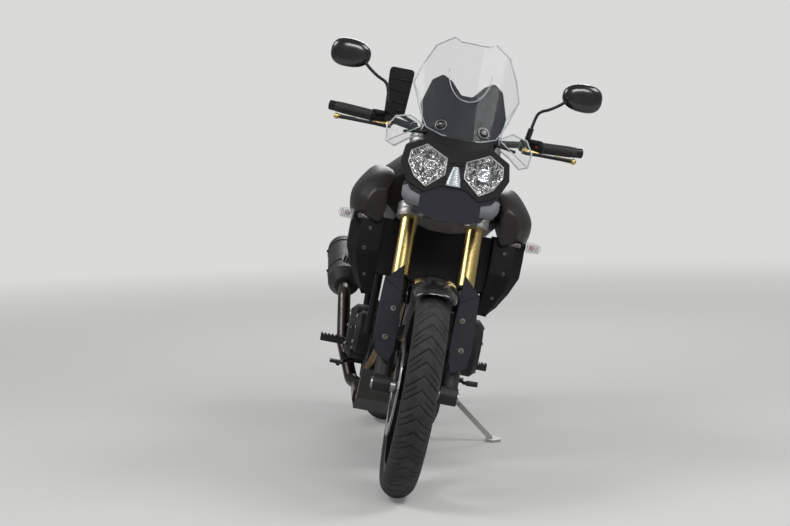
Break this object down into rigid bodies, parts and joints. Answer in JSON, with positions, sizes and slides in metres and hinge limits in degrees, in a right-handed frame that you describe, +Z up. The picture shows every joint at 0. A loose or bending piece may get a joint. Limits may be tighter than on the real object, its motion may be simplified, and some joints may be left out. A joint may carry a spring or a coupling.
{
  "type": "adventure motorcycle",
  "caption": "Adventure motorcycle leaning on its side stand, with twin front discs, upside-down fork, tall clear screen, chain drive and rear rack.",
  "frame": {"origin": "centre of the bounding box on the floor that the tyres and the side stand rest on", "axes": "+X forward, +Y to the rider's left, +Z up; the machine leans to +Y on its side stand"},
  "size_m": [2.2069, 0.9224, 1.3952],
  "materials": {
    "tyre_rubber": "matt",
    "wheel_black": "satin",
    "disc_steel": "brushed",
    "machined_steel": "machined",
    "gold_anodised": "anodised",
    "cast_dark": "cast",
    "cast_silver": "cast",
    "bar_black": "satin",
    "grip_rubber": "matt",
    "black_plastic": "grained",
    "gloss_black": "gloss",
    "blue_black_plastic": "satin",
    "frame_black": "satin",
    "engine_black": "cast",
    "brushed_aluminium": "brushed",
    "radiator_black": "matt",
    "header_bronze": "heat tinted",
    "exhaust_black": "matt",
    "silencer_steel": "brushed",
    "chain_steel": "oiled",
    "graphite_paint": "matt",
    "seat_cover": "grained",
    "red_lens": "clear",
    "lamp_reflector": "polished",
    "clear_lens": "clear",
    "clear_screen": "clear",
    "indicator_lens": "clear"
  },
  "bodies": {
    "chassis": {"rear_axle": "machined_steel", "main_frame": "frame_black", "crankcase": "engine_black", "cylinders": "engine_black", "airbox": "black_plastic", "engine_covers": "engine_black", "sump_guard": "brushed_aluminium", "radiator": "radiator_black", "exhaust_headers": "header_bronze", "exhaust_pipe": "exhaust_black", "silencer": "silencer_steel", "swingarm": "frame_black", "drive_chain": "chain_steel", "rear_caliper": "bar_black", "rear_shock": "bar_black", "fuel_tank": "graphite_paint", "rider_seat": "seat_cover", "pillion_seat": "seat_cover", "tank_wings": "graphite_paint", "radiator_shrouds": "black_plastic", "rear_panels": "graphite_paint", "tail_lamp": "red_lens", "rear_frame": "frame_black", "fairing_stay": "frame_black", "rear_rack": "black_plastic", "rear_mudguard": "black_plastic", "headlamp_shell": "black_plastic", "headlamp_bowls": "lamp_reflector", "headlamp_lenses": "clear_lens", "chin_panel": "blue_black_plastic", "windscreen": "clear_screen", "instrument_cowl": "black_plastic", "indicators": "indicator_lens", "foot_pegs": "machined_steel", "foot_levers": "cast_dark"},
    "steering": {"fork_tubes": "gold_anodised", "fork_legs": "cast_dark", "fork_yokes": "cast_silver", "handlebar": "bar_black", "grips": "grip_rubber", "bar_controls": "black_plastic", "levers": "bar_black", "mirrors": "gloss_black", "navigator_case": "black_plastic", "fork_guards": "blue_black_plastic", "front_mudguard": "gloss_black", "front_calipers": "bar_black", "front_axle": "machined_steel"},
    "front_wheel": {"front_tyre": "tyre_rubber", "front_rim": "wheel_black", "front_discs": "disc_steel"},
    "rear_wheel": {"rear_tyre": "tyre_rubber", "rear_rim": "wheel_black", "rear_disc": "disc_steel", "rear_sprocket": "machined_steel"},
    "side_stand": {"side_stand": "machined_steel"}
  },
  "joints": [
    {"name": "steering_turn", "type": "hinge", "parent": "chassis", "child": "steering", "pos_m": [0.72305, -0.18248, 0.30321], "axis": [-0.4019, 0.1982, 0.894], "range_deg": [-37, 37]},
    {"name": "front_wheel_spin", "type": "hinge", "parent": "steering", "child": "front_wheel", "pos_m": [0.7725, -0.17778, 0.3244], "axis": [0, 0.9763, -0.2164], "continuous": true},
    {"name": "rear_wheel_spin", "type": "hinge", "parent": "chassis", "child": "rear_wheel", "pos_m": [-0.7825, -0.17981, 0.31526], "axis": [0, 0.9763, -0.2164], "continuous": true},
    {"name": "side_stand_swing", "type": "hinge", "parent": "chassis", "child": "side_stand", "pos_m": [-0.255, -0.05174, 0.19989], "axis": [0, 0.7488, 0.6628], "range_deg": [0, 98]}
  ]
}
